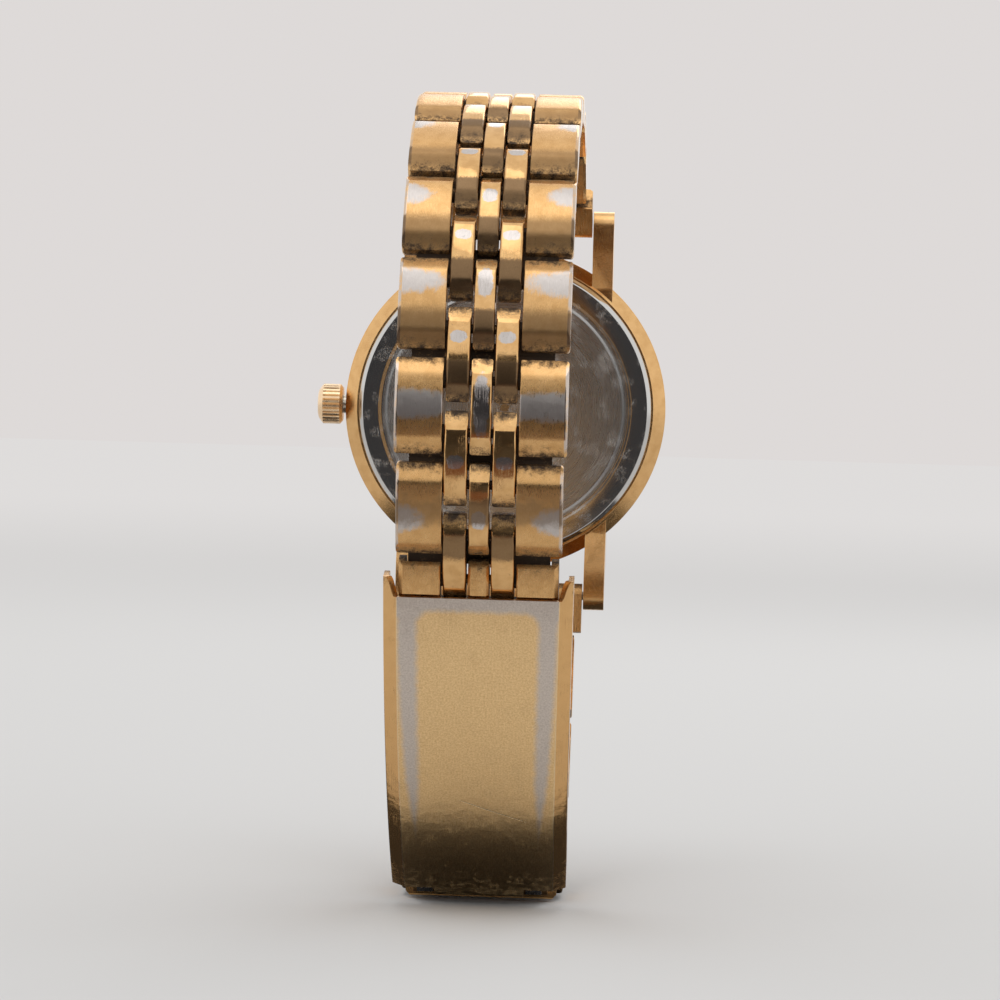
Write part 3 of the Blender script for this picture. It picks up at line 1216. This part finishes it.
# Caseback
# Stamped steel, pressed into the case: a polished rim, a groove, and a satin field turned on
# the lathe.
BACK_DEEP, BACK_BRIGHT = (0.48, 0.47, 0.46, 1), (0.62, 0.61, 0.59, 1)
FIELD_R, LIP_R, LIP_IN, RIM_IN = 13.1, 13.85, 0.58, 1.95
steel_back, w = new_material("steel_back")
radius, angle, _ = polar(w)
on_field = w.step(radius, FIELD_R + 0.2, FIELD_R) * w.step(radius, 0.4, 0.6)
rings = w.noise(w.combine(radius * 14.0, angle * 0.5, 0.0), 1.0, 5.0, 0.7) * on_field
scratch = w.use(scratch_group, Place=w.place(), Amount=1.0)["Mask"]
grime = w.use(grime_group, Amount=w.step(radius, 14.0, 15.6) * 0.10 + 0.13, Place=w.place())["Mask"]
color = w.mix(scratch * 0.5, w.mix(rings, BACK_BRIGHT, BACK_DEEP), (0.8, 0.79, 0.77, 1))
w.shade(Base_Color=w.mix(grime, color, (0.06, 0.04, 0.025, 1)), Metallic=1.0 - grime * 0.6,
        Roughness=rings * 0.28 + 0.14, Normal=w.bump(rings - scratch, 0.004))
back_r = reach_of("caseback")
plate = [(0.0, -0.9), (FIELD_R, -0.9), (FIELD_R, -RIM_IN), (LIP_R, -RIM_IN), (LIP_R, -LIP_IN),
         (back_r, -LIP_IN), (back_r - 0.42, 0.0), (13.6, 0.0), (13.3, -0.07), (12.9, -0.07), (12.6, 0.0),
         (0.0, 0.0)]
breaks = [0, 0.05, 0.05, 0.05, 0.05, 0.05, 0.12, 0.06, 0.05, 0.05, 0.06, 0]
dress_lathed("caseback_plate", "caseback", rounded(plate, breaks), steel_back, 30)

# Works and small parts inside
# Nickel-plated works in a nylon ring, the arbors that carry the hands, the crown's tube and
# stem, and the caseback's gasket. They keep their CAD shapes.
nickel, w = new_material("nickel_works")
cells = w.named(w.make("ShaderNodeTexVoronoi", Vector=w.place(), Scale=0.9).outputs)
pearl = w.math("FRACT", cells["Distance"] * 6.0)
w.shade(Base_Color=w.mix(pearl * 0.5, (0.62, 0.58, 0.50, 1), (0.46, 0.42, 0.36, 1)), Metallic=1.0,
        Roughness=pearl * 0.15 + 0.2, Normal=w.bump(pearl, 0.003))
for node, material in (("movement", nickel), ("movement_ring", nylon), ("crown_tube", nickel),
                       ("winding_stem", pin_steel), ("hour_wheel", gilt), ("cannon_pinion", gilt),
                       ("second_arbor", gilt), ("caseback_gasket", rubber)):
    frame["nodes"][node].data.materials.clear()
    frame["nodes"][node].data.materials.append(material)

# Crown
# Turned brass, plated: a fluted grip with a domed and polished end. Its gold is paler than the
# bracelet's.
CROWN_BRIGHT, CROWN_DEEP = (0.98, 0.74, 0.48, 1), (0.84, 0.58, 0.34, 1)
FLUTES, FLUTE_DEPTH, STEPS_PER_FLUTE, GRIP_ROWS = 28, 0.17, 8, 6
crown_gold = head_gold("crown_gold", 5.0, 5.0, 0.002, 0.22, 0.12, bright=CROWN_BRIGHT, deep=CROWN_DEEP)
low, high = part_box("crown")
crown_r, x0, x1 = (high.y - low.y) / 2 / MM, low.x / MM, high.x / MM
grip = [x0 + 0.34 + (x1 - x0 - 1.05) * k / GRIP_ROWS for k in range(GRIP_ROWS + 1)]


def fluted(angle):
    return crown_r - FLUTE_DEPTH * max(0.0, cos(angle * FLUTES)) ** 1.5


rows = [(x0, 0.72), (x0, crown_r - 0.32), (x0 + 0.06, crown_r - 0.26), (x0 + 0.28, crown_r)]
rows += [(x, fluted) for x in grip]
rows += [(x1 - 0.65, crown_r), (x1 - 0.52, crown_r - 0.12), (x1 - 0.30, crown_r - 0.42),
         (x1 - 0.16, crown_r - 0.62), (x1 - 0.07, crown_r * 0.55), (x1 - 0.02, crown_r * 0.28), (x1, 0.02)]
steps = FLUTES * STEPS_PER_FLUTE
crown = turned_mesh("crown_fluted", rows, (middle_of("crown")[0], 0.0), steps, crown_gold, 40)
dress("crown_fluted", crown, "crown", "crown")
